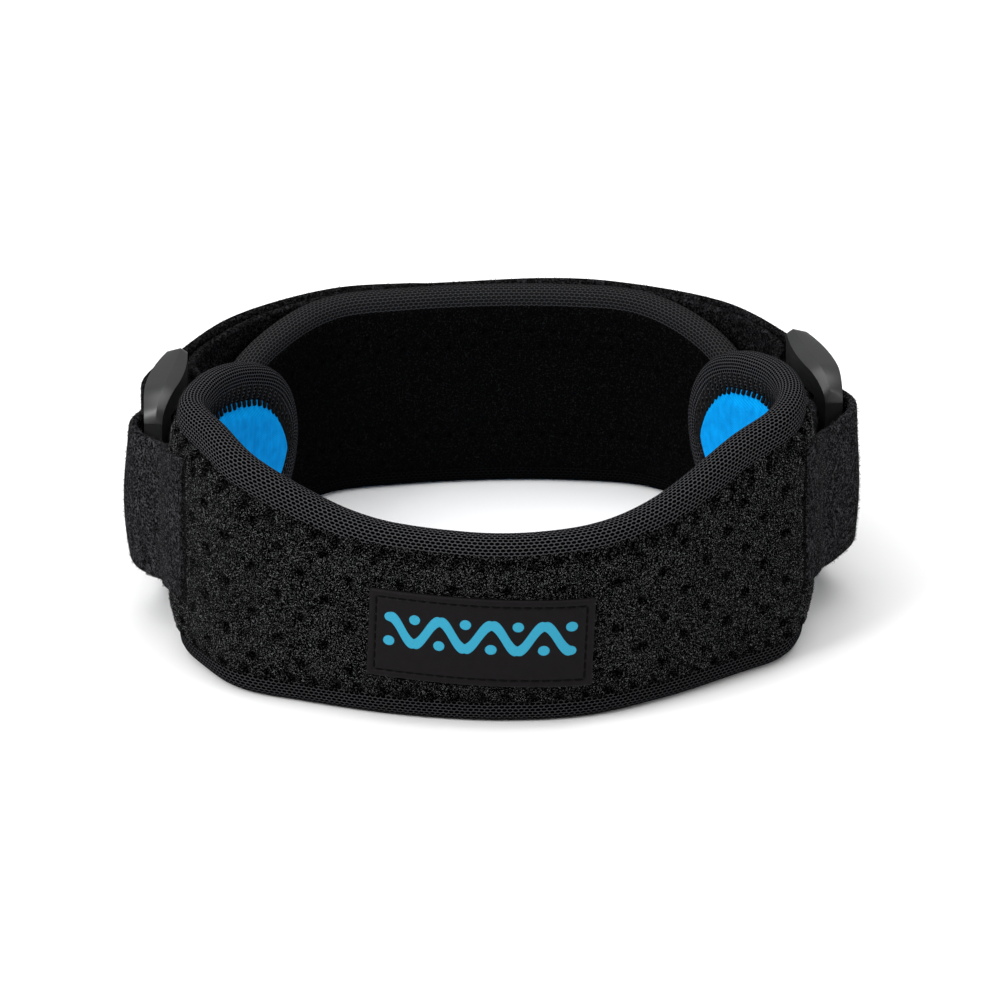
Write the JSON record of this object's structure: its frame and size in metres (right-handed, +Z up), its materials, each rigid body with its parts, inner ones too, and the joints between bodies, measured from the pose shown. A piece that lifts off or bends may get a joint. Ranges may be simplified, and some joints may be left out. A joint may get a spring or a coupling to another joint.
{
  "type": "patella strap",
  "caption": "Adjustable knee strap of padded bands with mesh-bound edges, joined at the sides by webbing looped through rectangular buckles.",
  "frame": {"origin": "centre of the lowest face of the object's box, where the standing strap rests on its lower edge", "axes": "+X across the strap to the right as seen from the front, +Y from the front pad to the back pad, +Z up along the wearer's leg"},
  "size_m": [0.13, 0.1224, 0.048],
  "materials": {
    "pile_cloth": "black perforated loop-pile cloth over foam",
    "blue_knit": "bright blue knitted lining",
    "mesh_tape": "black knitted mesh binding tape",
    "label_cloth": "black satin patch with a plain cyan ornament",
    "buckle_plastic": "dark grey satin moulded plastic",
    "strap_webbing": "black brushed loop webbing"
  },
  "bodies": {
    "root": {"front_pad": "pile_cloth", "front_lining": "blue_knit", "front_binding": "mesh_tape", "back_pad": "pile_cloth", "back_binding": "mesh_tape", "label_patch": "label_cloth", "left_buckle": "buckle_plastic", "right_buckle": "buckle_plastic", "left_side_strap": "strap_webbing", "right_side_strap": "strap_webbing", "left_back_strap": "strap_webbing", "right_back_strap": "strap_webbing"}
  },
  "joints": []
}
